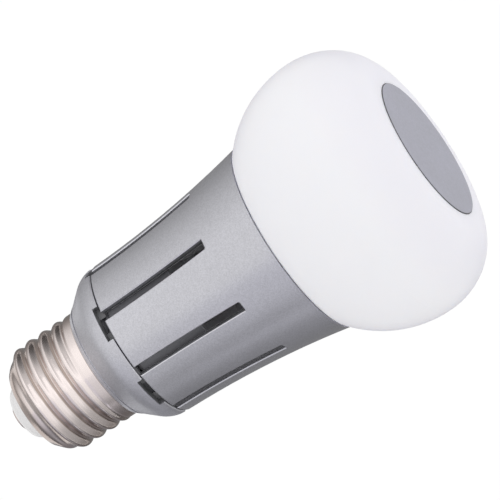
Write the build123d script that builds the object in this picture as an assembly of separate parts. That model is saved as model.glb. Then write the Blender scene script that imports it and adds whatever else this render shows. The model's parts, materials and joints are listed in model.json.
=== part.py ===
from build123d import *
import math
import os

# LED lamp with a screw cap, a slotted cast heat sink and an opal globe.
# Millimetres and degrees; the axis is +Z, and z = 0 is the screw shell's upper rim.

# Screw cap
thread_crest_diameter = 26.45
thread_depth = 0.85
thread_pitch = 3.629
thread_start_angle = 208.0
thread_run_out = 1.5
shell_sheet = 0.3
shell_height = 19.4
shell_band_height = 2.0
shell_band_drop = 0.15
shell_band_step = 0.05
shell_shoulder_height = 4.8
shell_shoulder_curve = 1.7
shell_mouth_diameter = 19.6
section_step = 15
sections_per_pitch = 8
nose_height = 3.6
nose_base_diameter = 13.8
nose_end_diameter = 7.8
nose_plug_height = 2.6
contact_diameter = 6.0
contact_height = 0.8
contact_edge_radius = 0.32
contact_pin_diameter = 2.2
contact_pin_length = 7.4

# Collar under the heat sink
collar_height = 9.8
collar_lip_height = 1.3
collar_lip_proud = 0.3
collar_lip_taper = 0.75
collar_lip_step = 0.2
collar_groove_height = 0.35
collar_groove_depth = 0.3
collar_flank_angle = 40.0
collar_flank_share = 0.38
collar_floor = 1.8
notch_count = 6
notch_width = 8.5
notch_height = 1.6
notch_angle = 34.3
seam_gap = 0.3
seam_depth = 1.0
seam_bevel = 0.2

# Heat sink
sink_base_diameter = 37.5
sink_rim_diameter = 46.4
sink_height = 41.3
sink_hollow = 0.9
sink_wall = 2.0
slot_count = 8
slot_width = 2.4
slot_length = 28.3
slot_lip = 0.25
rim_wall = 1.7
rim_depth = 2.2
deck_thickness = 2.6

# Globe and its top disc
globe_diameter = 64.0
equator_height = 20.05
crown_height = 15.6
globe_wall = 1.8
globe_seal_height = 0.5
joint_gap = 0.35
joint_depth = 0.7
disc_diameter = 33.4
disc_thickness = 1.6
disc_proud = 0.2
disc_edge_radius = 0.15
disc_ledge = 2.2
disc_margin = 1.7
disc_spigot_wall = 1.4
disc_spigot_height = 3.4

# Driver housing
housing_gap = 0.35
housing_wall = 1.5
housing_height = 17.2
housing_step = 1.2
housing_cone_rise = 1.05
housing_groove_height = 0.5
housing_groove_depth = 0.5
housing_groove_rise = 0.3
notch_groove_height = 0.3
lid_thickness = 1.5
lid_plug_height = 1.2
neck_wall = 1.45
neck_setback = 1.4
rail_thickness = 1.2
rail_grip = 1.6
post_diameter = 4.6
post_margin = 0.6
sink_post_diameter = 6.0
post_web = 1.4
housing_angle = 22.5

# Driver board and what it carries
board_thickness = 1.6
board_edge_margin = 1.5
tongue_clearance = 1.6
tongue_setback = 3.5
bobbin_wall = 0.6
bobbin_flange = 0.8
winding_inset = 0.3
can_edge_share = 0.06
fuse_diameter = 3.2
fuse_length = 7.0
fuse_edge_radius = 0.48
lead_diameter = 0.9
lead_bend_radius = 1.2
lead_foot = 2.0
lead_overlap = 4.0
part_gap = 0.5

# Component sizes as shares of the driver board's half width
core_width_share = 0.9
core_height_share = 0.9
core_depth_share = 0.3
core_leg_share = 0.27
core_yoke_share = 0.135
bobbin_depth_share = 0.6
input_capacitor_share = 0.6
input_capacitor_length_share = 0.97
output_capacitor_share = 0.47
output_capacitor_length_share = 0.82
choke_share = 0.45
choke_length_share = 0.67
bridge_depth_share = 0.19
bridge_width_share = 0.26
bridge_height_share = 0.35
chip_depth_share = 0.12
chip_width_share = 0.29
chip_height_share = 0.36

# Film capacitor as shares of the tongue's half width
film_depth_share = 0.47
film_width_share = 0.85
film_height_share = 0.79

# LED board
pad_thickness = 0.3
pad_margin = 0.5
led_board_thickness = 1.2
led_board_margin = 0.4
led_width = 3.0
led_height = 0.7
led_count = 12
led_circle = 19.0
lead_hole_diameter = 4.8

# Screws
screw_diameter = 2.5
screw_head_diameter = 4.6
screw_head_height = 1.5
housing_screw_bite = 9.0
board_screw_count = 3
board_screw_margin = 3.4

# Fits
fit = 0.1
press_fit = 0.03
hole_clearance = 0.2
overcut = 1.0

# Heights along the axis
collar_z = 0.0
shell_z = collar_z - shell_height
nose_z = shell_z - nose_height
contact_z = nose_z - contact_height
band_z = collar_z - shell_band_height
sink_z = collar_z + collar_height
slot_z = sink_z + slot_length
rim_z = sink_z + sink_height
joint_z = rim_z + joint_gap
deck_z = rim_z - rim_depth
deck_under_z = deck_z - deck_thickness
equator_z = rim_z + equator_height
crown_z = equator_z + crown_height
neck_z = shell_z + shell_shoulder_height + neck_setback
step_z = collar_z + collar_floor
lid_z = sink_z + housing_height - lid_thickness
lid_top_z = lid_z + lid_thickness
screw_seat_z = deck_z - screw_head_height - fit
pad_z = deck_z + pad_thickness
led_board_z = pad_z + led_board_thickness

# Radii
crest_r = thread_crest_diameter / 2
band_r = crest_r - shell_band_drop
sink_r = sink_base_diameter / 2
rim_r = sink_rim_diameter / 2
globe_r = globe_diameter / 2
disc_r = disc_diameter / 2
shell_bore_r = crest_r - thread_depth - shell_sheet
neck_r = shell_bore_r - fit
neck_bore_r = neck_r - neck_wall
housing_r = sink_r - sink_wall - housing_gap
housing_bore_r = housing_r - housing_wall
skirt_r = rim_r - rim_wall - fit
skirt_bore_r = skirt_r - globe_wall
led_board_r = skirt_bore_r - led_board_margin
board_screw_r = led_board_r - board_screw_margin
post_r = housing_bore_r - post_margin - post_diameter / 2
lead_r = lead_diameter / 2
screw_r = screw_diameter / 2
board_face = board_thickness / 2
board_screw_angle = housing_angle + 90
bend_lean = lead_bend_radius * (1 - math.cos(math.radians(45)))

# The housing's cone runs beside the collar's flank
flank = math.tan(math.radians(collar_flank_angle))
cone_foot_r = neck_r + housing_step
cone_z = step_z + (housing_r - cone_foot_r) / flank
bore_cone_z = cone_z + housing_cone_rise
bore_cone_foot_z = bore_cone_z - (housing_bore_r - neck_bore_r) / flank
seat_z = bore_cone_z + housing_wall

# The driver board stands between the housing's floor and its lid
board_top_z = lid_z - lid_plug_height - fit
board_mid_z = (seat_z + board_top_z) / 2
board_half = housing_bore_r - board_edge_margin
tongue_half = neck_bore_r - tongue_clearance
tongue_z = neck_z + tongue_setback

# Components stand side by side across the board, clear of the LED leads in its middle
core_width = core_width_share * board_half
core_height = core_height_share * board_half
core_depth = core_depth_share * board_half
core_leg = core_leg_share * board_half
core_yoke = core_yoke_share * board_half
bobbin_depth = bobbin_depth_share * board_half
input_capacitor_diameter = input_capacitor_share * board_half
input_capacitor_length = input_capacitor_length_share * board_half
output_capacitor_diameter = output_capacitor_share * board_half
output_capacitor_length = output_capacitor_length_share * board_half
choke_diameter = choke_share * board_half
choke_length = choke_length_share * board_half
bridge_shares = (bridge_depth_share, bridge_width_share, bridge_height_share)
bridge_size = [share * board_half for share in bridge_shares]
chip_size = [share * board_half for share in (chip_depth_share, chip_width_share, chip_height_share)]
film_size = [share * tongue_half for share in (film_depth_share, film_width_share, film_height_share)]
lead_side = lead_r + part_gap
transformer_y = core_yoke - core_width / 2 - lead_side
output_capacitor_y = transformer_y + core_width / 2 + part_gap + output_capacitor_diameter / 2
input_capacitor_y = -lead_side - input_capacitor_diameter / 2
choke_y = lead_side + choke_diameter / 2
bridge_y = choke_y + choke_diameter / 2 + part_gap + bridge_size[1] / 2
chip_z = seat_z - part_gap - chip_size[2] / 2

# The neutral lead leaves the tongue beside the film capacitor
neutral_y = tongue_half / 2
film_capacitor_y = neutral_y - lead_side - film_size[1] / 2
film_capacitor_z = tongue_z + lead_foot + film_size[2] / 2


def tube(outer_r, inner_r, low, high):
    """Upright tube between two heights."""
    height = high - low
    bottom = (Align.CENTER, Align.CENTER, Align.MIN)
    body = Cylinder(outer_r, height, align=bottom) - Cylinder(inner_r, height, align=bottom)
    return Pos(0, 0, low) * body


def rod(radius, low, high, x=0.0, y=0.0):
    """Upright round bar between two heights."""
    bottom = (Align.CENTER, Align.CENTER, Align.MIN)
    return Pos(x, y, low) * Cylinder(radius, high - low, align=bottom)


def block(x_span, y_span, z_span):
    """Box between two values on each axis."""
    size = [span[1] - span[0] for span in (x_span, y_span, z_span)]
    middle = [(span[1] + span[0]) / 2 for span in (x_span, y_span, z_span)]
    return Pos(*middle) * Box(*size)


def turned(lines):
    """Body of revolution from a closed outline of radius and height."""
    return revolve(Plane.XZ * make_face(lines), Axis.Z)


def turned_points(points):
    """Body of revolution from straight lines through points of radius and height."""
    return turned([Polyline(*points, close=True)])


def ring_of(shape, count, first=0.0):
    """Copies of a shape evenly spaced about the axis."""
    return [Rot(0, 0, first + 360.0 * i / count) * shape for i in range(count)]


def in_housing(shape):
    """Turns a piece with the driver, so that its posts stand between two slots."""
    return Rot(0, 0, housing_angle) * shape


def housing_posts(radius, low, high):
    """The two upright round bars on the housing's screw axes."""
    return [rod(radius, low, high, side * post_r) for side in (-1, 1)]


def ease(value):
    """Smooth step from 0 to 1."""
    value = min(max(value, 0.0), 1.0)
    return value * value * (3 - 2 * value)


def shell_radius(height, angle):
    """Outer radius of the rolled shell: plain band, helical groove, then the drawn-in shoulder."""
    rise = (height - shell_z) / shell_shoulder_height
    low = ease(rise)
    high = ease((band_z - height) / thread_run_out)
    phase = 2 * math.pi * (height - shell_z) / thread_pitch - math.radians(angle - thread_start_angle)
    wave = (1 - math.cos(phase)) / 2
    groove = thread_depth * high * (low * wave + (1 - low) / 2)
    run_out = (shell_band_drop + shell_band_step) * (1 - high)
    draw = crest_r - thread_depth / 2 - shell_mouth_diameter / 2
    drawn_in = draw * (1 - min(max(rise, 0.0), 1.0)) ** shell_shoulder_curve
    return crest_r - groove - run_out - drawn_in


def shell_section(angle):
    """Closed outline of the shell's sheet in one half-plane through the axis."""
    count = round(sections_per_pitch * (band_z - shell_z) / thread_pitch)
    steps = [i / count for i in range(count + 1)]
    levels = [shell_z + (band_z - shell_z) * step for step in steps]
    across = Vector(math.cos(math.radians(angle)), math.sin(math.radians(angle)), 0)
    up = Vector(0, 0, 1)
    outer = [across * shell_radius(level, angle) + up * level for level in levels]
    inner = [point - across * shell_sheet for point in outer]
    return Wire(
        [
            Edge.make_spline(outer, parameters=steps),
            Edge.make_line(outer[-1], inner[-1]),
            Edge.make_spline(inner[::-1], parameters=steps),
            Edge.make_line(inner[0], outer[0]),
        ]
    )


def screw_shell():
    """Rolled cap: the sheet's section carried round the axis in two halves, and a plain band."""
    half_turn = range(0, 180 + section_step, section_step)
    first = Solid.make_loft([shell_section(angle) for angle in half_turn])
    second = Solid.make_loft([shell_section(angle + 180) for angle in half_turn])
    band = tube(band_r, band_r - shell_sheet, band_z, collar_z)
    return first + second + band


def cap_insulator():
    """White nose: a rounded boss below a plug that fills the shell's mouth."""
    plug_r = shell_mouth_diameter / 2 - shell_sheet - press_fit
    plug_z = shell_z + nose_plug_height
    base_r = nose_base_diameter / 2
    end_r = nose_end_diameter / 2
    boss = EllipticalCenterArc((end_r, shell_z), base_r - end_r, nose_height, 270, arc_size=90)
    rest = Polyline(
        (base_r, shell_z), (plug_r, shell_z), (plug_r, plug_z), (0, plug_z), (0, nose_z), (end_r, nose_z)
    )
    return turned([boss, rest]) - rod(contact_pin_diameter / 2 + press_fit, nose_z, plug_z)


def centre_contact():
    """Rivet with a flat head below the nose and a pin up into the cap."""
    head = rod(contact_diameter / 2, contact_z, nose_z)
    head = fillet(head.edges().group_by(Axis.Z)[0], contact_edge_radius)
    return head + rod(contact_pin_diameter / 2, nose_z, nose_z + contact_pin_length)


def base_collar():
    """Bowl that carries the heat sink: lip and groove, flank, rounded brow and notches in its top edge."""
    lip_r = band_r + collar_lip_proud
    lip_top_z = collar_z + collar_lip_height
    flank_low = (lip_r + collar_lip_taper + collar_lip_step, lip_top_z)
    flank_rise = collar_flank_share * (sink_z - lip_top_z)
    flank_high = (flank_low[0] + flank * flank_rise, lip_top_z + flank_rise)
    brow_z = sink_z - seam_gap
    lip_edge_r = lip_r + collar_lip_taper
    groove_z = lip_top_z - collar_groove_height
    side = Polyline(
        (neck_r + fit, collar_z),
        (lip_r, collar_z),
        (lip_edge_r, groove_z),
        (lip_edge_r - collar_groove_depth, groove_z),
        (lip_edge_r - collar_groove_depth, lip_top_z),
        flank_low,
        flank_high,
    )
    direction = (math.sin(math.radians(collar_flank_angle)), math.cos(math.radians(collar_flank_angle)))
    brow_end = (sink_r, brow_z - seam_bevel)
    brow = TangentArc(flank_high, brow_end, tangent=direction)
    inside = Polyline(
        brow_end,
        (sink_r - seam_bevel, brow_z),
        (sink_r - seam_depth, brow_z),
        (sink_r - seam_depth, sink_z),
        (housing_r + fit, sink_z),
        (housing_r + fit, cone_z),
        (cone_foot_r + fit, step_z),
        (neck_r + fit, step_z),
        (neck_r + fit, collar_z),
    )
    bowl = turned([side, brow, inside])
    half = notch_width / 2
    notch = block((housing_r, sink_r + overcut), (-half, half), (sink_z - notch_height, sink_z + overcut))
    return bowl - ring_of(notch, notch_count, notch_angle)


def sink_arc():
    """Radius and centre of the heat sink's hollow outside arc, from its foot to its rim."""
    rise = sink_height
    spread = rim_r - sink_r
    chord = math.hypot(rise, spread)
    arc_r = chord ** 2 / (8 * sink_hollow) + sink_hollow / 2
    centre_r = (sink_r + rim_r) / 2 + (arc_r - sink_hollow) * rise / chord
    centre_z = (sink_z + rim_z) / 2 - (arc_r - sink_hollow) * spread / chord
    return arc_r, centre_r, centre_z


def sink_radius(height):
    """Radius of the heat sink's outside at a height."""
    arc_r, centre_r, centre_z = sink_arc()
    return centre_r - math.sqrt(arc_r ** 2 - (height - centre_z) ** 2)


def slot_cutter():
    """Cutter for one slot: a way through the wall that follows the flare, with bevelled lips and end."""
    arc_r, centre_r, centre_z = sink_arc()
    low = math.asin((sink_z - overcut - centre_z) / arc_r)
    high = math.asin((slot_z - centre_z) / arc_r)
    half = slot_width / 2
    flare = half + slot_lip + overcut
    start_x = centre_r - arc_r
    section = Polyline(
        (start_x + overcut, -flare),
        (start_x - slot_lip, -half),
        (start_x - sink_wall - overcut, -half),
        (start_x - sink_wall - overcut, half),
        (start_x - slot_lip, half),
        (start_x + overcut, flare),
        close=True,
    )
    axis = Axis((centre_r, 0, centre_z), (0, 1, 0))
    way = revolve(Pos(0, 0, centre_z) * make_face(section), axis, math.degrees(high - low))
    way = way.rotate(axis, math.degrees(low))

    def on_end(depth, past):
        turn = high + past / arc_r
        return (centre_r - (arc_r + depth) * math.cos(turn), centre_z + (arc_r + depth) * math.sin(turn))

    reach = slot_lip + overcut
    lip = Polyline(on_end(slot_lip, 0), on_end(-overcut, reach), on_end(-overcut, -overcut), close=True)
    return way + extrude(Plane.XZ * make_face(lip), half, both=True)


def heat_sink():
    """Flared casting: slotted skirt, deck for the LED board, rim for the globe, two posts below."""
    middle_z = (sink_z + rim_z) / 2
    inner_mid_z = (sink_z + deck_under_z) / 2
    bevel_z = sink_z + seam_bevel
    bevel_top = (sink_radius(bevel_z), bevel_z)
    outside = ThreePointArc(bevel_top, (sink_radius(middle_z), middle_z), (rim_r, rim_z))
    top = Polyline(
        (rim_r, rim_z),
        (rim_r - rim_wall, rim_z),
        (rim_r - rim_wall, deck_z),
        (0, deck_z),
        (0, deck_under_z),
        (sink_radius(deck_under_z) - sink_wall, deck_under_z),
    )
    inside = ThreePointArc(
        (sink_radius(deck_under_z) - sink_wall, deck_under_z),
        (sink_radius(inner_mid_z) - sink_wall, inner_mid_z),
        (sink_r - sink_wall, sink_z),
    )
    foot = Polyline((sink_r - sink_wall, sink_z), (sink_r - seam_bevel, sink_z), bevel_top)
    body = Rot(0, 0, 180 / slot_count) * turned([outside, top, inside, foot])

    body = body - ring_of(slot_cutter(), slot_count)

    posts = housing_posts(sink_post_diameter / 2, lid_top_z, screw_seat_z - fit)
    body = body + [in_housing(post) for post in posts]
    holes = housing_posts(screw_r + hole_clearance, lid_top_z, deck_z)
    holes += housing_posts(screw_head_diameter / 2 + hole_clearance, screw_seat_z, deck_z)
    body = body - [in_housing(hole) for hole in holes]
    body = body - rod(lead_hole_diameter / 2, deck_under_z, deck_z)
    bite = rod(screw_r + press_fit, deck_under_z, deck_z, board_screw_r)
    return body - ring_of(bite, board_screw_count, board_screw_angle)


def globe_arcs(wall):
    """Lower arc and crown of the globe, set in by a wall, with the radii and centre used."""
    spread = globe_r - rim_r
    rise = equator_z - joint_z
    belly_r = (rise ** 2 + spread ** 2) / (2 * spread)
    belly_centre_r = globe_r - belly_r
    crown_centre_r = disc_r + fit + disc_margin
    crown_r = globe_r - crown_centre_r
    return belly_r - wall, belly_centre_r, crown_centre_r, crown_r - wall, crown_height - wall


def globe():
    """Opal shell: skirt in the rim, open joint above it, full belly, crown with a seat for the disc."""
    belly_r, belly_centre_r, crown_centre_r, crown_r, crown_rise = globe_arcs(0.0)
    inner_belly_r, _, _, inner_crown_r, inner_rise = globe_arcs(globe_wall)
    seat_r = disc_r + fit
    floor_z = crown_z - (disc_thickness - disc_proud)
    ledge_z = floor_z - globe_wall
    hole_r = disc_r - disc_ledge
    skirt_z = deck_z + globe_seal_height
    ledge_r = crown_centre_r + inner_crown_r * math.sqrt(1 - ((ledge_z - equator_z) / inner_rise) ** 2)
    mouth_z = equator_z - math.sqrt(inner_belly_r ** 2 - (skirt_bore_r - belly_centre_r) ** 2)

    def on_belly(radius, angle):
        turn = math.radians(angle)
        return (belly_centre_r + radius * math.cos(turn), equator_z + radius * math.sin(turn))

    low_angle = -math.degrees(math.asin((equator_z - joint_z) / belly_r))
    mouth_angle = -math.degrees(math.asin((equator_z - mouth_z) / inner_belly_r))
    ledge_angle = math.degrees(math.asin((ledge_z - equator_z) / inner_rise))
    centre = (crown_centre_r, equator_z)
    joint_r = rim_r - joint_depth
    foot = Polyline(
        (skirt_r, skirt_z),
        (skirt_r, rim_z),
        (joint_r, rim_z),
        (joint_r, joint_z),
        on_belly(belly_r, low_angle),
    )
    belly = ThreePointArc(
        on_belly(belly_r, low_angle), on_belly(belly_r, low_angle / 2), (globe_r, equator_z)
    )
    crown = EllipticalCenterArc(centre, crown_r, crown_rise, 0, arc_size=90)
    top = Polyline(
        (crown_centre_r, crown_z),
        (seat_r, crown_z),
        (seat_r, floor_z),
        (hole_r, floor_z),
        (hole_r, ledge_z),
        (ledge_r, ledge_z),
    )
    inner_crown = EllipticalCenterArc(centre, inner_crown_r, inner_rise, 0, arc_size=ledge_angle)
    inner_belly = ThreePointArc(
        (globe_r - globe_wall, equator_z),
        on_belly(inner_belly_r, mouth_angle / 2),
        (skirt_bore_r, mouth_z),
    )
    skirt = Polyline((skirt_bore_r, mouth_z), (skirt_bore_r, skirt_z), (skirt_r, skirt_z))
    return turned([foot, belly, crown, top, inner_crown, inner_belly, skirt])


def globe_seal():
    """Silicone bead between the deck and the globe's skirt."""
    return tube(skirt_r, skirt_bore_r, deck_z, deck_z + globe_seal_height)


def top_disc():
    """Round plate in the globe's top, with a spigot through the hole below it."""
    floor_z = crown_z - (disc_thickness - disc_proud)
    plate = rod(disc_r, floor_z, floor_z + disc_thickness)
    plate = fillet(plate.edges().group_by(Axis.Z)[-1], disc_edge_radius)
    spigot_r = disc_r - disc_ledge - fit
    return plate + tube(spigot_r, spigot_r - disc_spigot_wall, floor_z - disc_spigot_height, floor_z)


def driver_housing():
    """Insulating cup with a neck for the shell, board rails, screw posts and two grooves round it."""
    groove_z = sink_z + housing_groove_rise
    notch_z = sink_z - notch_height
    groove_r = housing_r - housing_groove_depth
    filled = turned_points(
        [
            (0, neck_z),
            (neck_r, neck_z),
            (neck_r, step_z),
            (cone_foot_r, step_z),
            (housing_r, cone_z),
            (housing_r, lid_z),
            (0, lid_z),
        ]
    )
    hollow = turned_points(
        [
            (0, neck_z),
            (neck_bore_r, neck_z),
            (neck_bore_r, bore_cone_foot_z),
            (housing_bore_r, bore_cone_z),
            (housing_bore_r, lid_z),
            (0, lid_z),
        ]
    )
    upper_groove = tube(housing_r, groove_r, groove_z, groove_z + housing_groove_height)
    lower_groove = tube(housing_r, groove_r, notch_z, notch_z + notch_groove_height)
    half = board_face + rail_thickness
    rail_y = board_half - rail_grip
    rails = [
        block((-half, half), sorted((side * rail_y, side * housing_r)), (step_z, board_top_z))
        for side in (-1, 1)
    ]
    posts = housing_posts(post_diameter / 2, step_z, lid_z)
    webs = [
        block(
            sorted((side * post_r, side * housing_r)),
            (-post_web / 2, post_web / 2),
            (step_z, board_top_z),
        )
        for side in (-1, 1)
    ]
    inside = (rails[0] + rails[1] + posts + webs) & filled
    keep_clear = block(
        (-board_face - fit, board_face + fit), (-board_half - fit, board_half + fit), (seat_z, lid_z)
    )
    bites = housing_posts(screw_r + press_fit, lid_z - housing_screw_bite - overcut, lid_z)
    cup = (filled - hollow - upper_groove - lower_groove) + inside
    return in_housing(cup - keep_clear - bites)


def housing_lid():
    """Lid on the housing, plugged into it, with holes for the screws and the LED leads."""
    plate = rod(housing_r, lid_z, lid_top_z)
    plug = tube(housing_bore_r - fit, housing_bore_r - fit - housing_wall, lid_z - lid_plug_height, lid_z)
    room = block((-housing_r, housing_r), (-post_diameter, post_diameter), (lid_z - lid_plug_height, lid_z))
    holes = housing_posts(screw_r + hole_clearance, lid_z, lid_top_z)
    lid = plate + (plug - room)
    return in_housing(lid - holes - rod(lead_hole_diameter / 2, lid_z, lid_top_z))


def pan_screw(low, seat, x):
    """Screw with a flat head on its seat and a shank down to a depth."""
    return rod(screw_r, low, seat, x) + rod(screw_head_diameter / 2, seat, seat + screw_head_height, x)


def housing_screws():
    """Two long screws through the deck and the lid into the housing's posts."""
    low = lid_z - housing_screw_bite
    return [in_housing(pan_screw(low, screw_seat_z, side * post_r)) for side in (-1, 1)]


def driver_board():
    """Upright board: wide between the rails, with a tongue down into the neck."""
    wide = block((-board_face, board_face), (-board_half, board_half), (seat_z, board_top_z))
    tongue = block((-board_face, board_face), (-tongue_half, tongue_half), (tongue_z, seat_z))
    return in_housing(wide + tongue)


def transformer_place(shape):
    """Puts a transformer piece on the board's front face, beside the LED lead."""
    return in_housing(Pos(board_face + bobbin_depth / 2, transformer_y, board_mid_z) * shape)


def transformer_core():
    """Two facing E halves as one closed core with two windows."""
    window_y = (core_width - core_leg - 2 * core_yoke) / 2
    window = Box(core_depth, window_y, core_height - 2 * core_yoke)
    offset = core_leg / 2 + window_y / 2
    core = Box(core_depth, core_width, core_height)
    return transformer_place(core - Pos(0, offset, 0) * window - Pos(0, -offset, 0) * window)


def bobbin_spans():
    """Leg hole, barrel and flange sizes of the bobbin: depth and width of each."""
    hole = (core_depth + 2 * press_fit, core_leg + 2 * press_fit)
    barrel = (hole[0] + 2 * bobbin_wall, hole[1] + 2 * bobbin_wall)
    flange = (bobbin_depth, core_width - 2 * core_yoke - 2 * press_fit)
    return hole, barrel, flange


def transformer_bobbin():
    """Barrel round the core's middle leg with a flange at each end."""
    hole, barrel, flange = bobbin_spans()
    length = core_height - 2 * core_yoke - 2 * press_fit
    spool = Box(*barrel, length)
    for side in (-1, 1):
        spool = spool + Pos(0, 0, side * (length - bobbin_flange) / 2) * Box(*flange, bobbin_flange)
    return transformer_place(spool - Box(*hole, length))


def transformer_winding():
    """Wound and taped coil between the flanges."""
    _, barrel, flange = bobbin_spans()
    length = core_height - 2 * core_yoke - 2 * press_fit - 2 * bobbin_flange
    coil = Box(flange[0] - 2 * winding_inset, flange[1] - 2 * winding_inset, length)
    coil = fillet(coil.edges().filter_by(Axis.Z), 2 * winding_inset)
    return transformer_place(coil - Box(*barrel, length))


def can(diameter, length, side, y):
    """Round component standing against one face of the board."""
    body = Cylinder(diameter / 2, length)
    body = fillet(body.edges(), diameter * can_edge_share)
    x = side * (board_face + diameter / 2)
    return in_housing(Pos(x, y, board_mid_z) * body)


def box_component(size, side, y, z):
    """Square component flat against one face of the board."""
    return in_housing(Pos(side * (board_face + size[0] / 2), y, z) * Box(*size))


def fuse_resistor():
    """Round resistor on the tongue, above the end of the live lead."""
    low = tongue_z + lead_foot
    body = rod(fuse_diameter / 2, low, low + fuse_length, board_face + fuse_diameter / 2)
    return in_housing(fillet(body.edges(), fuse_edge_radius))


def wire(path):
    """Round lead along a path."""
    profile = Plane(origin=path @ 0, z_dir=path % 0) * Circle(lead_r)
    return sweep(profile, path=path)


def live_lead():
    """Lead from the contact's pin up to the fuse resistor."""
    low = nose_z + contact_pin_length
    high = tongue_z + lead_foot
    path = Spline((0, 0, low), (board_face + fuse_diameter / 2, 0, high), tangents=((0, 0, 1), (0, 0, 1)))
    return in_housing(wire(path))


def neutral_lead():
    """Lead from the board's tongue down and out to the shell's wall below the neck."""
    x = -(board_face + lead_r)
    y = neutral_y
    level = neck_z - lead_r - fit
    reach = math.sqrt((shell_bore_r - press_fit) ** 2 - (abs(x) + lead_r) ** 2)
    down = Line((x, y, tongue_z + lead_overlap), (x, y, level + lead_bend_radius))
    corner = (x, y + lead_bend_radius, level)
    bend = ThreePointArc(down @ 1, (x, y + bend_lean, level + bend_lean), corner)
    out = Line(corner, (x, reach, level))
    return in_housing(wire(Wire([down, bend, out])))


def led_lead(side):
    """Lead from the driver board through the lid and the deck, bent onto the LED board."""
    x = side * (board_face + lead_r)
    level = led_board_z + lead_r
    up = Line((x, 0, board_top_z - lead_overlap), (x, 0, level - lead_bend_radius))
    corner = (x + side * lead_bend_radius, 0, level)
    bend = ThreePointArc(up @ 1, (x + side * bend_lean, 0, level - bend_lean), corner)
    out = Line(corner, (corner[0] + side * lead_foot, 0, level))
    return in_housing(wire(Wire([up, bend, out])))


def thermal_pad():
    """Soft sheet between the deck and the LED board."""
    sheet = tube(led_board_r - pad_margin, lead_hole_diameter / 2, deck_z, pad_z)
    hole = rod(screw_r + hole_clearance, deck_z, pad_z, board_screw_r)
    return sheet - ring_of(hole, board_screw_count, board_screw_angle)


def led_board():
    """Round metal-core board with a middle hole for the leads."""
    disc = tube(led_board_r, lead_hole_diameter / 2, pad_z, led_board_z)
    hole = rod(screw_r + hole_clearance, pad_z, led_board_z, board_screw_r)
    return disc - ring_of(hole, board_screw_count, board_screw_angle)


def led_packages():
    """Ring of LED packages on the board."""
    package = Pos(led_circle / 2, 0, led_board_z + led_height / 2) * Box(led_width, led_width, led_height)
    return ring_of(package, led_count, housing_angle + 180.0 / led_count)


def led_board_screws():
    """Screws through the LED board into the deck."""
    screw = pan_screw(deck_under_z, led_board_z, board_screw_r)
    return ring_of(screw, board_screw_count, board_screw_angle)


nodes = {
    "screw_shell": screw_shell(),
    "cap_insulator": cap_insulator(),
    "centre_contact": centre_contact(),
    "base_collar": base_collar(),
    "heat_sink": heat_sink(),
    "globe": globe(),
    "globe_seal": globe_seal(),
    "top_disc": top_disc(),
    "driver_housing": driver_housing(),
    "housing_lid": housing_lid(),
    "housing_screws": housing_screws(),
    "driver_board": driver_board(),
    "transformer_core": transformer_core(),
    "transformer_bobbin": transformer_bobbin(),
    "transformer_winding": transformer_winding(),
    "input_capacitor": can(input_capacitor_diameter, input_capacitor_length, -1, input_capacitor_y),
    "output_capacitor": can(output_capacitor_diameter, output_capacitor_length, 1, output_capacitor_y),
    "choke": can(choke_diameter, choke_length, -1, choke_y),
    "film_capacitor": box_component(film_size, -1, film_capacitor_y, film_capacitor_z),
    "bridge_rectifier": box_component(bridge_size, -1, bridge_y, board_mid_z),
    "driver_chip": box_component(chip_size, -1, 0, chip_z),
    "fuse_resistor": fuse_resistor(),
    "live_lead": live_lead(),
    "neutral_lead": neutral_lead(),
    "led_lead_positive": led_lead(1),
    "led_lead_negative": led_lead(-1),
    "thermal_pad": thermal_pad(),
    "led_board": led_board(),
    "led_packages": led_packages(),
    "led_board_screws": led_board_screws(),
}

os.makedirs("parts", exist_ok=True)
for name, shape in nodes.items():
    if isinstance(shape, list):
        shape = Compound(shape)
    export_step(shape, f"parts/{name}.step")
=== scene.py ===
import json
import math

import bpy
import numpy as np
from mathutils import Matrix, Vector


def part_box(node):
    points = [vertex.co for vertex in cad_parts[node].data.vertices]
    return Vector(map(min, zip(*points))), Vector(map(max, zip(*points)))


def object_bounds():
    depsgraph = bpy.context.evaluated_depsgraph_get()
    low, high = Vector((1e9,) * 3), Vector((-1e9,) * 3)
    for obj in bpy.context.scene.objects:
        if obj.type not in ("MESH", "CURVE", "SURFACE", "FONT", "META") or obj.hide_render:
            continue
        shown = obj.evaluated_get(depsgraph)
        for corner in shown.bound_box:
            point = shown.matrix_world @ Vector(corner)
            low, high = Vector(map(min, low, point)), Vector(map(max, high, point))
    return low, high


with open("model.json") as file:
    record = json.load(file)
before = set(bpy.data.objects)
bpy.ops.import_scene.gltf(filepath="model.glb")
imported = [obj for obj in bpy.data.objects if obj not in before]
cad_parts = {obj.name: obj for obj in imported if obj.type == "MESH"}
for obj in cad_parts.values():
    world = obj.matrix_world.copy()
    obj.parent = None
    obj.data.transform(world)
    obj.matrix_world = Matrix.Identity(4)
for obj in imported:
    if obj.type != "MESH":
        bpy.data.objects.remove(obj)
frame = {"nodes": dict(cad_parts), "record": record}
cad_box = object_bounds()
nodes = frame["nodes"]
MM = 0.001
WHITE = (1.0, 1.0, 1.0)


# Shader helpers

MIX_FIRST = 6
MIX_SECOND = 7
MIX_RESULT = 2


def add(tree, kind, **settings):
    """A node of one kind, with its properties set by name."""
    made = tree.nodes.new(kind)
    for key, value in settings.items():
        setattr(made, key, value)
    return made


def wire(tree, source, target):
    """Joins an output socket to an input socket."""
    tree.links.new(source, target)


def feed(tree, socket, value):
    """Gives an input socket another socket, a colour or a plain number."""
    if isinstance(value, bpy.types.NodeSocket):
        wire(tree, value, socket)
    elif isinstance(value, tuple):
        socket.default_value = (*value, 1.0)
    else:
        socket.default_value = value


def reckon(tree, operation, *values):
    """A math node fed by sockets and plain numbers, and its result."""
    made = add(tree, "ShaderNodeMath", operation=operation)
    for socket, value in zip(made.inputs, values):
        feed(tree, socket, value)
    return made.outputs[0]


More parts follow.
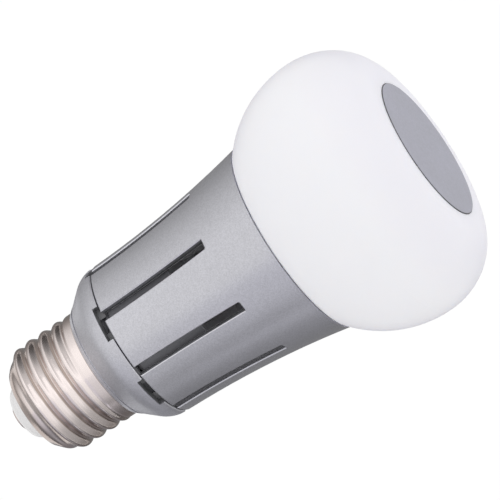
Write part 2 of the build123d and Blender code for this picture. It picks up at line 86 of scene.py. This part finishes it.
def ramp(tree, value, low, high):
    """A smooth mask that goes from 0 at one value to 1 at another."""
    made = add(tree, "ShaderNodeMapRange", interpolation_type="SMOOTHSTEP")
    made.inputs["From Min"].default_value = low
    made.inputs["From Max"].default_value = high
    wire(tree, value, made.inputs["Value"])
    return made.outputs["Result"]


def mixed(tree, first, second, share, kind="MIX"):
    """Two colours mixed by a mask or a plain share."""
    made = add(tree, "ShaderNodeMix", data_type="RGBA", blend_type=kind)
    feed(tree, made.inputs["Factor"], share)
    feed(tree, made.inputs[MIX_FIRST], first)
    feed(tree, made.inputs[MIX_SECOND], second)
    return made.outputs[MIX_RESULT]


def tinted(tree, color, *tints):
    """A colour multiplied by one or more brightness masks."""
    for tint in tints:
        color = mixed(tree, color, tint, 1.0, "MULTIPLY")
    return color


def about_one(tree, value, contrast):
    """A value from 0 to 1 spread about one, as a brightness mask."""
    middle = 0.5
    return reckon(tree, "MULTIPLY_ADD", reckon(tree, "SUBTRACT", value, middle), contrast, 1.0)


def split(tree, vector):
    """The x, y and z of a vector."""
    made = add(tree, "ShaderNodeSeparateXYZ")
    wire(tree, vector, made.inputs["Vector"])
    return made.outputs


def facing_away(tree):
    """How far a surface turns from the eye, from 0 face on to 1 edge on."""
    made = add(tree, "ShaderNodeLayerWeight")
    made.inputs["Blend"].default_value = 0.5
    return made.outputs["Facing"]


# Effects that several finishes share

def effect_group(name, values, outputs):
    """An empty shader node group with a vector, float inputs with their defaults and float outputs."""
    tree = bpy.data.node_groups.new(name, "ShaderNodeTree")
    tree.interface.new_socket("Vector", in_out="INPUT", socket_type="NodeSocketVector")
    for label, value in values.items():
        socket = tree.interface.new_socket(label, in_out="INPUT", socket_type="NodeSocketFloat")
        socket.default_value = value
    for label in outputs:
        tree.interface.new_socket(label, in_out="OUTPUT", socket_type="NodeSocketFloat")
    return tree, add(tree, "NodeGroupInput"), add(tree, "NodeGroupOutput")


def flake_group():
    """Metal flake in paint: each small cell has its own brightness, on coarser, soft orange peel."""
    peel_coarseness = 0.22
    values = {"Cells per metre": 6000.0, "Contrast": 0.2}
    tree, come, go = effect_group("paint_flake", values, ["Tint", "Height"])
    cells = add(tree, "ShaderNodeTexVoronoi", feature="F1")
    wire(tree, come.outputs["Vector"], cells.inputs["Vector"])
    wire(tree, come.outputs["Cells per metre"], cells.inputs["Scale"])
    level = add(tree, "ShaderNodeSeparateColor")
    wire(tree, cells.outputs["Color"], level.inputs["Color"])
    wire(tree, about_one(tree, level.outputs["Red"], come.outputs["Contrast"]), go.inputs["Tint"])
    peel = add(tree, "ShaderNodeTexNoise")
    peel.inputs["Detail"].default_value = 2.0
    wire(tree, come.outputs["Vector"], peel.inputs["Vector"])
    coarse = reckon(tree, "MULTIPLY", come.outputs["Cells per metre"], peel_coarseness)
    wire(tree, coarse, peel.inputs["Scale"])
    wire(tree, peel.outputs["Fac"], go.inputs["Height"])
    return tree


def mottle_group():
    """Slow unevenness of a finish: soft noise, centred on one."""
    values = {"Patches per metre": 120.0, "Contrast": 0.1}
    tree, come, go = effect_group("slow_mottle", values, ["Tint"])
    cloud = add(tree, "ShaderNodeTexNoise")
    cloud.inputs["Detail"].default_value = 4.0
    cloud.inputs["Roughness"].default_value = 0.55
    wire(tree, come.outputs["Vector"], cloud.inputs["Vector"])
    wire(tree, come.outputs["Patches per metre"], cloud.inputs["Scale"])
    wire(tree, about_one(tree, cloud.outputs["Fac"], come.outputs["Contrast"]), go.inputs["Tint"])
    return tree


def depth_group():
    """Depth below a flared outside, and height above its foot.

    The outside's radius grows evenly from foot to rim, less a parabola that is deepest halfway up."""
    halfway_bow = 0.25
    sizes = ["Low radius", "High radius", "Low height", "High height", "Hollow"]
    tree, come, go = effect_group("depth_below_outside", dict.fromkeys(sizes, 0.0), ["Depth", "Height"])
    low_radius, high_radius, low_height, high_height, hollow = [come.outputs[label] for label in sizes]
    x, y, z = split(tree, come.outputs["Vector"])
    square = reckon(tree, "ADD", reckon(tree, "MULTIPLY", x, x), reckon(tree, "MULTIPLY", y, y))
    reach = reckon(tree, "SQRT", square)
    height = reckon(tree, "SUBTRACT", z, low_height)
    rise = reckon(tree, "DIVIDE", height, reckon(tree, "SUBTRACT", high_height, low_height))
    flare = reckon(tree, "SUBTRACT", high_radius, low_radius)
    straight = reckon(tree, "MULTIPLY_ADD", flare, rise, low_radius)
    bow = reckon(tree, "MULTIPLY", rise, reckon(tree, "SUBTRACT", 1.0, rise))
    sag = reckon(tree, "MULTIPLY", reckon(tree, "DIVIDE", bow, halfway_bow), hollow)
    depth = reckon(tree, "SUBTRACT", reckon(tree, "SUBTRACT", straight, sag), reach)
    wire(tree, depth, go.inputs["Depth"])
    wire(tree, height, go.inputs["Height"])
    return tree


paint_flake = flake_group()
slow_mottle = mottle_group()
depth_below_outside = depth_group()


def use(tree, group, vector, **values):
    """Places an effect group in a material with its own values."""
    made = add(tree, "ShaderNodeGroup", node_tree=group)
    wire(tree, vector, made.inputs["Vector"])
    for label, value in values.items():
        made.inputs[label.replace("_", " ")].default_value = value
    return made.outputs


# Finishes, whose masks run from the first depth or height of a pair to the second

def finish_start(name, color, roughness, metallic=0.0):
    """A material with its Principled BSDF and its Object coordinates."""
    made = bpy.data.materials.new(name)
    made.use_nodes = True
    tree = made.node_tree
    shader = tree.nodes["Principled BSDF"]
    shader.inputs["Base Color"].default_value = (*color, 1.0)
    shader.inputs["Roughness"].default_value = roughness
    shader.inputs["Metallic"].default_value = metallic
    place = add(tree, "ShaderNodeTexCoord")
    return made, tree, shader, place.outputs["Object"]


def finish_end(tree, shader, color, uneven, relief, depth, strength):
    """Joins the colour to the shader, an uneven mask to its roughness and a relief to its normal."""
    wire(tree, color, shader.inputs["Base Color"])
    roughness = shader.inputs["Roughness"]
    wire(tree, reckon(tree, "MULTIPLY", uneven, roughness.default_value), roughness)
    bump = add(tree, "ShaderNodeBump")
    bump.inputs["Strength"].default_value = strength
    bump.inputs["Distance"].default_value = depth
    wire(tree, relief, bump.inputs["Height"])
    wire(tree, bump.outputs["Normal"], shader.inputs["Normal"])


SILVER = (0.558, 0.556, 0.592)
PAINT_METAL = 0.85
# Painted highlight on cut edges: its brightness gain and the depths it spans.
EDGE_HIGHLIGHT_GAIN = 0.3
EDGE_START = (0.04 * MM, 0.12 * MM)
EDGE_END = (0.2 * MM, 0.4 * MM)
WALL_INSIDE = (1.85 * MM, 1.95 * MM)
UNDERSIDE = (-0.06 * MM, -0.03 * MM)
LIP_FADE = 0.1 * MM
# Painted shade on the walls of the sink's slots and the collar's notches.
CUT_WALL_SHADE = (0.085, 0.087, 0.095)
# The sink's inside: its raw aluminium colour made paler as painted light.
RAW_INSIDE_AND_LIGHT = (0.8, 0.8, 0.82)
COLLAR_CUT_SHADE = (0.17, 0.17, 0.18)
COLLAR_INSIDE_SHADE = (0.2, 0.2, 0.21)

sink_low, sink_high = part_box("heat_sink")
collar_low, collar_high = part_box("base_collar")
SINK_FOOT = (collar_high.x, sink_low.z)
SINK_RIM = (sink_high.x, sink_high.z)
SINK_HOLLOW = 0.9 * MM
NOTCH_TAPER = 0.08 * MM
NOTCH_HEIGHT = 1.6 * MM
LIP_HEIGHT = 0.95 * MM
COLLAR_FLOOR = (SINK_FOOT[0] - NOTCH_TAPER, SINK_FOOT[1] - NOTCH_HEIGHT)
LIP_TOP = collar_low.z + LIP_HEIGHT - COLLAR_FLOOR[1]


def silver_paint(name, roughness, low, high, hollow, shade_reach, cut_shade, inside_light_and_shade, lip_highlight_gain):
    """Satin silver paint with flake and orange peel, with a painted highlight on cut edges and painted
    shade on the walls of the cuts.

    Low and high are the radius and height of the painted outside's foot and rim. A painted highlight makes
    the lip below the foot brighter by its gain. Deep in the cuts an inside colour takes over: painted light
    on the sink, painted shade on the collar."""
    made, tree, shader, place = finish_start(name, SILVER, roughness, PAINT_METAL)
    grit = use(tree, paint_flake, place, Cells_per_metre=5200.0, Contrast=0.2)
    slow = use(tree, slow_mottle, place, Patches_per_metre=90.0, Contrast=0.1)
    cut = use(
        tree,
        depth_below_outside,
        place,
        Low_radius=low[0],
        High_radius=high[0],
        Low_height=low[1],
        High_height=high[1],
        Hollow=hollow,
    )
    above = ramp(tree, cut["Height"], *UNDERSIDE)
    # Painted shade: beyond the paint's reach the cut walls turn dark.
    cut_shading = reckon(tree, "MULTIPLY", ramp(tree, cut["Depth"], *shade_reach), above)
    # Painted highlight along the cut edges.
    start = ramp(tree, cut["Depth"], *EDGE_START)
    edge = reckon(tree, "SUBTRACT", start, ramp(tree, cut["Depth"], *EDGE_END))
    edge_highlight = reckon(tree, "MULTIPLY_ADD", reckon(tree, "MULTIPLY", edge, above), EDGE_HIGHLIGHT_GAIN, 1.0)
    # Painted highlight on the lip below the foot.
    past_lip = ramp(tree, cut["Height"], LIP_TOP, LIP_TOP + LIP_FADE)
    lip_highlight = reckon(tree, "MULTIPLY_ADD", past_lip, -lip_highlight_gain, 1.0 + lip_highlight_gain)
    paint = tinted(tree, SILVER, grit["Tint"], slow["Tint"], edge_highlight, lip_highlight)
    # Deep in the cuts the inside colour takes over: painted light on the sink, painted shade on the collar.
    cut_tones = mixed(tree, cut_shade, inside_light_and_shade, ramp(tree, cut["Depth"], *WALL_INSIDE))
    color = mixed(tree, paint, tinted(tree, cut_tones, slow["Tint"]), cut_shading)
    wire(tree, reckon(tree, "MULTIPLY_ADD", cut_shading, -PAINT_METAL, PAINT_METAL), shader.inputs["Metallic"])
    finish_end(tree, shader, color, slow["Tint"], grit["Height"], depth=0.04 * MM, strength=0.25)
    return made


HOUSING_DARK = (0.16, 0.16, 0.175)
# Painted light on the lid's upper face, pale above its level.
LID_TOP_LIGHT = (0.42, 0.42, 0.45)
TOP_LIGHT_DEPTH = (0.06 * MM, 0.02 * MM)
GRAIN_SHARE = 0.5


def moulded(name, color, roughness, contrast, top_light_level=None):
    """Moulded plastic: slow unevenness, a fine eroded grain, and painted light that pales the upper face
    above a level, if one is given.
    """
    made, tree, shader, place = finish_start(name, color, roughness)
    grit = use(tree, paint_flake, place, Cells_per_metre=7000.0, Contrast=contrast * GRAIN_SHARE)
    slow = use(tree, slow_mottle, place, Patches_per_metre=140.0, Contrast=contrast)
    if top_light_level is not None:
        # Painted light: above the level the colour turns pale.
        top_light = ramp(tree, split(tree, place)["Z"], *[top_light_level - depth for depth in TOP_LIGHT_DEPTH])
        color = mixed(tree, color, LID_TOP_LIGHT, top_light)
    plastic = tinted(tree, color, grit["Tint"], slow["Tint"])
    finish_end(tree, shader, plastic, slow["Tint"], grit["Height"], depth=0.03 * MM, strength=0.2)
    return made


DISC_GREY = (0.335, 0.335, 0.40)
# Painted shade along the plate's rim.
DISC_EDGE_SHADE = (0.12, 0.12, 0.13)
EDGE_SHADE_DEPTH = (0.15 * MM, 0.05 * MM)


def edged_disc(name):
    """Grey plate with cloudy unevenness and painted shade on its cut edge."""
    made, tree, shader, place = finish_start(name, DISC_GREY, roughness=0.45)
    grit = use(tree, paint_flake, place, Cells_per_metre=3000.0, Contrast=0.12)
    slow = use(tree, slow_mottle, place, Patches_per_metre=110.0, Contrast=0.35)
    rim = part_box("top_disc")[1].x
    round_edge = use(tree, depth_below_outside, place, Low_radius=rim, High_radius=rim, High_height=1.0)
    plate = tinted(tree, DISC_GREY, grit["Tint"], slow["Tint"])
    # Painted shade along the rim.
    color = mixed(tree, plate, DISC_EDGE_SHADE, ramp(tree, round_edge["Depth"], *EDGE_SHADE_DEPTH))
    finish_end(tree, shader, color, slow["Tint"], grit["Height"], depth=0.03 * MM, strength=0.2)
    return made


OPAL = (0.922, 0.912, 0.985)
# Painted shade where the globe turns edge on.
LIMB_SHADE_RANGE = (0.6, 1.0)
LIMB_SHADE_GAIN = -0.08
# Painted light at the skirt, fading to painted shade toward the crown.
CROWN_START = 21.0 * MM
CROWN_SHADE_GAIN = -0.06
SKIRT_LIGHT_LEVEL = 1.015


def opal(name):
    """Opal globe: pale and satin, with light spreading in its wall, painted shade where it turns edge on
    and toward its crown.
    """
    made, tree, shader, place = finish_start(name, OPAL, roughness=0.38)
    slow = use(tree, slow_mottle, place, Patches_per_metre=60.0, Contrast=0.03)
    grit = use(tree, paint_flake, place, Cells_per_metre=4000.0, Contrast=0.0)
    low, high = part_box("globe")
    # Painted shade toward the edge-on rim.
    limb_shade = reckon(tree, "MULTIPLY_ADD", ramp(tree, facing_away(tree), *LIMB_SHADE_RANGE), LIMB_SHADE_GAIN, 1.0)
    crown = ramp(tree, split(tree, place)["Z"], low.z + CROWN_START, high.z)
    # Painted shade toward the crown, a little painted light at the skirt.
    crown_shade = reckon(tree, "MULTIPLY_ADD", crown, CROWN_SHADE_GAIN, SKIRT_LIGHT_LEVEL)
    shader.inputs["Specular IOR Level"].default_value = 0.06
    shader.inputs["Subsurface Weight"].default_value = 0.6
    shader.inputs["Subsurface Radius"].default_value = (1.0, 0.95, 0.9)
    shader.inputs["Subsurface Scale"].default_value = 1.5 * MM
    color = tinted(tree, OPAL, slow["Tint"], limb_shade, crown_shade)
    finish_end(tree, shader, color, slow["Tint"], grit["Height"], depth=0.02 * MM, strength=0.15)
    return made


NICKEL = (0.89, 0.80, 0.775)
RING_STRETCH = (0.04, 0.04, 1.0)
# Roots: tarnish deepened by painted shade; upper brow: painted shade where the shell meets the collar's
# lip.
ROOT_TARNISH_AND_SHADE = (0.42, 0.34, 0.30)
# Painted shade where the shell turns edge on.
EDGE_ON_SHADE = (0.5, 0.41, 0.37)
FOOT_BROWN = (0.62, 0.54, 0.51)
ROOT_DEPTH = (0.72 * MM, 0.84 * MM)
THREAD_START = (4.0 * MM, 5.6 * MM)
FOOT_FADE = (3.4 * MM, 1.2 * MM)
BROW_SHADE_DEPTH = (0.3 * MM, 0.1 * MM)
EDGE_SHADE_TURN = (0.3, 0.75)


def rolled_nickel(name, roughness, shell=None):
    """Bright nickel with faint rings left by the rolls and slow unevenness.

    A threaded shell browns at its foot, takes painted shade where it turns edge on and along its upper
    brow, and darkens in its roots with tarnish deepened by painted shade."""
    made, tree, shader, place = finish_start(name, NICKEL, roughness, 1.0)
    stretch = add(tree, "ShaderNodeMapping")
    stretch.inputs["Scale"].default_value = RING_STRETCH
    wire(tree, place, stretch.inputs["Vector"])
    rings = use(tree, slow_mottle, stretch.outputs["Vector"], Patches_per_metre=2600.0, Contrast=0.5)
    slow = use(tree, slow_mottle, place, Patches_per_metre=160.0, Contrast=0.12)
    plate = tinted(tree, NICKEL, slow["Tint"])
    if shell:
        low, high = shell
        tall = high.z - low.z
        crest = {"Low_radius": high.x, "High_radius": high.x, "Low_height": low.z, "High_height": high.z}
        below = use(tree, depth_below_outside, place, **crest)
        # Tarnish and painted shade in the roots, painted shade at the upper brow.
        root = ramp(tree, below["Depth"], *ROOT_DEPTH)
        thread = ramp(tree, below["Height"], *THREAD_START)
        brow_shade = ramp(tree, below["Height"], *[tall - depth for depth in BROW_SHADE_DEPTH])
        tarnish_and_shade = reckon(tree, "MAXIMUM", reckon(tree, "MULTIPLY", root, thread), brow_shade)
        plate = mixed(tree, plate, FOOT_BROWN, ramp(tree, below["Height"], *FOOT_FADE))
        # Painted shade where the shell turns edge on.
        plate = mixed(tree, plate, EDGE_ON_SHADE, ramp(tree, facing_away(tree), *EDGE_SHADE_TURN))
        plate = mixed(tree, plate, ROOT_TARNISH_AND_SHADE, tarnish_and_shade)
    finish_end(tree, shader, plate, rings["Tint"], rings["Tint"], depth=0.01 * MM, strength=0.2)
    return made


# Each moulded finish by its slot: colour, roughness and contrast
MOULDED = {
    "cap_white": ((0.83, 0.82, 0.82), 0.3, 0.05),
    "housing_dark": (HOUSING_DARK, 0.5, 0.2),
    "board_green": ((0.03, 0.16, 0.07), 0.35, 0.3),
    "ferrite": ((0.05, 0.05, 0.055), 0.6, 0.25),
    "bobbin_black": ((0.03, 0.03, 0.03), 0.5, 0.1),
    "tape_yellow": ((0.72, 0.5, 0.05), 0.3, 0.12),
    "sleeve_black": ((0.03, 0.03, 0.035), 0.3, 0.12),
    "resin_black": ((0.025, 0.025, 0.025), 0.55, 0.12),
    "film_red": ((0.42, 0.07, 0.04), 0.25, 0.15),
    "fuse_green": ((0.18, 0.3, 0.2), 0.5, 0.2),
    "wire_red": ((0.5, 0.03, 0.03), 0.4, 0.08),
    "wire_black": ((0.025, 0.025, 0.025), 0.4, 0.08),
    "wire_white": ((0.75, 0.75, 0.73), 0.4, 0.08),
    "pad_grey": ((0.33, 0.34, 0.35), 0.7, 0.12),
    "led_board_white": ((0.8, 0.8, 0.79), 0.35, 0.05),
    "led_yellow": ((0.8, 0.62, 0.12), 0.25, 0.1),
    "silicone_white": ((0.78, 0.78, 0.78), 0.4, 0.06),
}
finishes = {slot: moulded(slot, *values) for slot, values in MOULDED.items()}
finishes["nickel_plate"] = rolled_nickel("nickel_plate", roughness=0.2, shell=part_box("screw_shell"))
finishes["screw_steel"] = rolled_nickel("screw_steel", roughness=0.3)
finishes["disc_grey"] = edged_disc("disc_grey")
finishes["opal_white"] = opal("opal_white")
# Sink: painted highlight on slot edges, painted shade in the slots, painted light on its raw inside.
finishes["silver_paint"] = silver_paint(
    "silver_paint",
    roughness=0.3,
    low=SINK_FOOT,
    high=SINK_RIM,
    hollow=SINK_HOLLOW,
    shade_reach=(0.5 * MM, 1.6 * MM),
    cut_shade=CUT_WALL_SHADE,
    inside_light_and_shade=RAW_INSIDE_AND_LIGHT,
    lip_highlight_gain=0.0,
)
# Collar: painted highlight on notch edges and lip, painted shade in the notches.
finishes["collar_silver"] = silver_paint(
    "collar_silver",
    roughness=0.42,
    low=COLLAR_FLOOR,
    high=SINK_FOOT,
    hollow=0.0,
    shade_reach=(0.12 * MM, 0.4 * MM),
    cut_shade=COLLAR_CUT_SHADE,
    inside_light_and_shade=COLLAR_INSIDE_SHADE,
    lip_highlight_gain=0.22,
)
for part in frame["record"]["subparts"]:
    slots = nodes[part["node"]].data.materials
    slots.clear()
    slots.append(finishes[part["material_slot"]])

lid_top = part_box("housing_lid")[1].z
# The lid's upper face gets painted light.
nodes["housing_lid"].data.materials[0] = moulded("housing_lid", *MOULDED["housing_dark"], lid_top)


# Camera: a long lens, the lamp's axis rising to the right

VIEW_TURN = math.radians(27.5)
VIEW_RISE = math.radians(15.2)
AXIS_SLOPE = math.radians(33.57)
FRAME_WIDTH = 108.9 * MM
AIM_HEIGHT = 41.25 * MM
AIM_SIDE = 2.91 * MM
AIM_ALONG = 0.1 * MM
LENS = 496.0
SENSOR = 36.0
NEAREST = 0.1
FARTHEST = 50.0

side = Vector((math.cos(VIEW_TURN), math.sin(VIEW_TURN), 0.0))
ahead = Vector((math.sin(VIEW_TURN), -math.cos(VIEW_TURN), 0.0))
toward = ahead * math.cos(VIEW_RISE) + Vector((0.0, 0.0, math.sin(VIEW_RISE)))
along = toward.cross(side)
right = side * math.sin(AXIS_SLOPE) + along * math.cos(AXIS_SLOPE)
up = along * math.sin(AXIS_SLOPE) - side * math.cos(AXIS_SLOPE)
aim = Vector((0.0, 0.0, AIM_HEIGHT)) - side * AIM_SIDE - along * AIM_ALONG
eye = aim + toward * (FRAME_WIDTH * LENS / SENSOR)

camera_data = bpy.data.cameras.new("photo_camera")
camera_data.lens = LENS
camera_data.sensor_width = SENSOR
camera_data.clip_start = NEAREST
camera_data.clip_end = FARTHEST
camera = bpy.data.objects.new("photo_camera", camera_data)
bpy.context.scene.collection.objects.link(camera)
camera.matrix_world = Matrix(
    (
        (right.x, up.x, toward.x, eye.x),
        (right.y, up.y, toward.y, eye.y),
        (right.z, up.z, toward.z, eye.z),
        (0.0, 0.0, 0.0, 1.0),
    )
)
bpy.context.scene.camera = camera


# Light: a soft box above to the left, grey screens for the metal to mirror, a pale room and floor

KEY_DIRECTION = up * 0.55 - right * 0.25 + toward * 0.8
KEY_DISTANCE = 0.9
KEY_SIZE = 1.3
KEY_POWER = 0.9


def soft_box(name, direction, distance, size, power):
    """Square soft box that faces the lamp's middle."""
    data = bpy.data.lights.new(name, "AREA")
    data.shape = "SQUARE"
    data.size = size
    data.energy = power
    lamp = bpy.data.objects.new(name, data)
    bpy.context.scene.collection.objects.link(lamp)
    spot = direction.normalized()
    lamp.location = aim + spot * distance
    lamp.rotation_mode = "QUATERNION"
    lamp.rotation_quaternion = spot.to_track_quat("Z", "Y")


soft_box("key_box", KEY_DIRECTION, KEY_DISTANCE, KEY_SIZE, KEY_POWER)


def lit(tree, kind, color, strength):
    """A background or emission shader of one colour, with a strength or a mask of strengths."""
    made = add(tree, kind)
    feed(tree, made.inputs["Color"], color)
    feed(tree, made.inputs["Strength"], strength)
    return made.outputs[0]


def shown(tree):
    """One where the camera or a shiny or clear surface looks, and zero for the light given to surfaces."""
    path = add(tree, "ShaderNodeLightPath")
    seen = reckon(tree, "MAXIMUM", path.outputs["Is Camera Ray"], path.outputs["Is Glossy Ray"])
    return reckon(tree, "MAXIMUM", seen, path.outputs["Is Transmission Ray"])


def either(tree, first, second, share):
    """Two shaders mixed by a mask."""
    made = add(tree, "ShaderNodeMixShader")
    for socket, source in zip(made.inputs, (share, first, second)):
        wire(tree, source, socket)
    return made.outputs[0]


def stage_piece(name, points, faces):
    """A mesh object with an empty material of its own, and that material's node tree."""
    mesh = bpy.data.meshes.new(name)
    mesh.from_pydata(points.tolist(), [], faces)
    piece = bpy.data.objects.new(name, mesh)
    bpy.context.scene.collection.objects.link(piece)
    made = bpy.data.materials.new(name)
    made.use_nodes = True
    made.node_tree.nodes.clear()
    mesh.materials.append(made)
    return piece, made.node_tree


SCREEN_STEPS = 61


def grey_screen(name, radius, foot, top, greys, top_radius=None, color=WHITE):
    """Screen turned about the lamp's axis between two heights, which only shiny surfaces mirror.

    The greys are pairs of degrees round from the camera and brightness, joined by straight ramps."""
    stops, levels = np.array(greys).T
    turn = np.linspace(stops[0], stops[-1], SCREEN_STEPS)
    ring = np.outer(np.sin(np.radians(turn)), side) + np.outer(np.cos(np.radians(turn)), ahead)
    reach = radius if top_radius is None else top_radius
    points = np.concatenate([ring * radius + (0.0, 0.0, foot), ring * reach + (0.0, 0.0, top)])
    first = np.arange(SCREEN_STEPS - 1)
    faces = np.stack([first, first + 1, first + 1 + SCREEN_STEPS, first + SCREEN_STEPS], axis=1)
    screen, tree = stage_piece(name, points, faces.tolist())
    values = screen.data.attributes.new("shade", "FLOAT", "POINT")
    values.data.foreach_set("value", np.tile(np.interp(turn, stops, levels), 2))
    screen.visible_camera = False
    screen.visible_diffuse = False
    screen.visible_shadow = False
    grey = add(tree, "ShaderNodeAttribute", attribute_name="shade")
    out = add(tree, "ShaderNodeOutputMaterial")
    wire(tree, lit(tree, "ShaderNodeEmission", color, grey.outputs["Fac"]), out.inputs["Surface"])


COOL_GREY = (0.985, 0.985, 1.06)
RIGHT_GREYS = [
    (6, 0.85),
    (14, 0.79),
    (25, 0.73),
    (43, 0.74),
    (58, 0.62),
    (68, 0.38),
    (76, 0.32),
    (83, 0.90),
    (90, 0.46),
    (100, 0.38),
    (115, 0.33),
    (140, 0.29),
    (175, 0.25),
]
RIGHT_HIGH_GREYS = [
    (6, 0.85),
    (14, 0.79),
    (25, 0.73),
    (43, 0.60),
    (58, 0.45),
    (70, 0.29),
    (85, 0.21),
    (100, 0.12),
    (115, 0.10),
    (140, 0.20),
    (175, 0.25),
]
RIGHT_FLOOR_GREYS = [
    (6, 0.85),
    (25, 0.73),
    (43, 0.68),
    (58, 0.50),
    (70, 0.34),
    (90, 0.27),
    (115, 0.18),
    (140, 0.18),
]
LEFT_GREYS = [(-178, 0.2), (-140, 0.32), (-120, 0.46), (-100, 0.66), (-82, 0.8), (-60, 0.95)]
UPPER_LEFT_GREYS = [
    (-160, 0.08),
    (-122, 0.10),
    (-98, 0.26),
    (-75, 0.58),
    (-45, 0.68),
    (-30, 0.82),
    (-12, 1.0),
]
UPPER_RIGHT_GREYS = [(8, 1.0), (43, 0.82), (60, 0.6), (75, 0.45), (108, 0.36), (160, 0.3)]
BELOW_GREYS = [(0, 0.5), (50, 0.36), (90, 0.2), (180, 0.48), (250, 0.46), (310, 0.48), (360, 0.5)]

RIGHT_REACH = 0.4
LEFT_REACH = 0.42
UPPER_REACH = 0.3
BELOW_REACH = 0.11
BELOW_LEVEL = -0.3
SIDE_FOOT = -0.29
SHELL_FOOT = -0.125
SIDE_TOP = 0.01
UPPER_FOOT = 0.015
UPPER_LEFT_TOP = 0.24
UPPER_RIGHT_TOP = 0.3

grey_screen("right_screen", RIGHT_REACH, SIDE_FOOT, SHELL_FOOT, RIGHT_GREYS, color=COOL_GREY)
grey_screen("right_high_screen", RIGHT_REACH, SHELL_FOOT, SIDE_TOP, RIGHT_HIGH_GREYS)
grey_screen(
    "right_floor_screen", RIGHT_REACH, SIDE_FOOT, BELOW_LEVEL, RIGHT_FLOOR_GREYS, BELOW_REACH, COOL_GREY
)
grey_screen("left_screen", LEFT_REACH, SIDE_FOOT, SIDE_TOP, LEFT_GREYS)
grey_screen("left_floor_screen", LEFT_REACH, SIDE_FOOT, BELOW_LEVEL, LEFT_GREYS[1:], BELOW_REACH)
grey_screen("upper_left_screen", UPPER_REACH, UPPER_FOOT, UPPER_LEFT_TOP, UPPER_LEFT_GREYS)
grey_screen("upper_right_screen", UPPER_REACH, UPPER_FOOT, UPPER_RIGHT_TOP, UPPER_RIGHT_GREYS)
grey_screen("below_screen", BELOW_REACH, BELOW_LEVEL, BELOW_LEVEL, BELOW_GREYS, 0.0)

ROOM_LIGHT = 0.94
ROOM_SEEN = 1.0


def pale_room():
    """World: an even pale light on surfaces, plain white where it is seen or mirrored."""
    world = bpy.data.worlds.new("pale_room")
    bpy.context.scene.world = world
    world.use_nodes = True
    tree = world.node_tree
    tree.nodes.clear()
    light = lit(tree, "ShaderNodeBackground", WHITE, ROOM_LIGHT)
    white = lit(tree, "ShaderNodeBackground", WHITE, ROOM_SEEN)
    out = add(tree, "ShaderNodeOutputWorld")
    wire(tree, either(tree, light, white, shown(tree)), out.inputs["Surface"])


pale_room()

FLOOR_REACH = 12.0
FLOOR_DROP = 0.3
FLOOR_GREY = (0.9, 0.9, 0.9)
FLOOR_GLOW = 1.02
FLOOR_GLOW_SHARE = 0.95


def pale_floor():
    """Wide pale floor well below the lamp, which is held by its cap: a flat grid of two points by two.

    It is white where it is seen, and keeps shadows."""
    ends = np.linspace(-FLOOR_REACH, FLOOR_REACH, 2)
    across, back = np.meshgrid(ends, ends)
    level = np.full(across.size, cad_box[0].z - FLOOR_DROP)
    points = np.stack([across.ravel(), back.ravel(), level], axis=1)
    floor, tree = stage_piece("pale_floor", points, [(0, 1, 3, 2)])
    matt = add(tree, "ShaderNodeBsdfDiffuse")
    feed(tree, matt.inputs["Color"], FLOOR_GREY)
    glow = lit(tree, "ShaderNodeEmission", WHITE, FLOOR_GLOW)
    share = reckon(tree, "MULTIPLY", shown(tree), FLOOR_GLOW_SHARE)
    out = add(tree, "ShaderNodeOutputMaterial")
    wire(tree, either(tree, matt.outputs[0], glow, share), out.inputs["Surface"])


pale_floor()
bpy.context.scene.view_settings.view_transform = "Standard"
